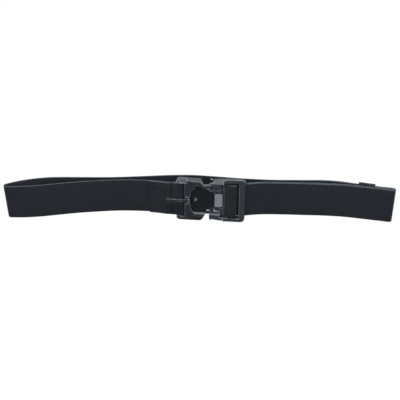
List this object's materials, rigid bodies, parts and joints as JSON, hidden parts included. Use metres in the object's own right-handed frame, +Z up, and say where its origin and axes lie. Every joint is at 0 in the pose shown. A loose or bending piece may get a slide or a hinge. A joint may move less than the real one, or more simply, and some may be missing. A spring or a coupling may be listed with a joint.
{
  "type": "tactical belt",
  "caption": "Buckled tactical belt of ribbed webbing standing on edge, with a two-part quick-release buckle, pull tab and keeper loop.",
  "frame": {"origin": "on the floor, under the middle of the belt's bounding box", "axes": "+X along the loop from the buckle's pull tab side to its adjuster side, -Y is the side the buckle faces, +Z up, with the belt standing on its lower edge"},
  "size_m": [0.4234, 0.047, 0.0495],
  "materials": {
    "nylon_webbing": "matt, ribbed",
    "elastic_band": "matt",
    "moulded_plastic": "fine grained",
    "dark_plastic": "matt",
    "satin_steel": "satin",
    "cord_nylon": "braided",
    "tab_rubber": "satin"
  },
  "bodies": {
    "root": {"webbing": "nylon_webbing", "keeper_loop": "elastic_band", "buckle_left": "moulded_plastic", "buckle_right": "moulded_plastic", "cover_plate": "dark_plastic", "cord_guide": "moulded_plastic", "strap_pin": "satin_steel", "latch_plate": "satin_steel", "latch_foot": "satin_steel", "pull_cord": "cord_nylon", "pull_tab": "tab_rubber"}
  },
  "joints": []
}
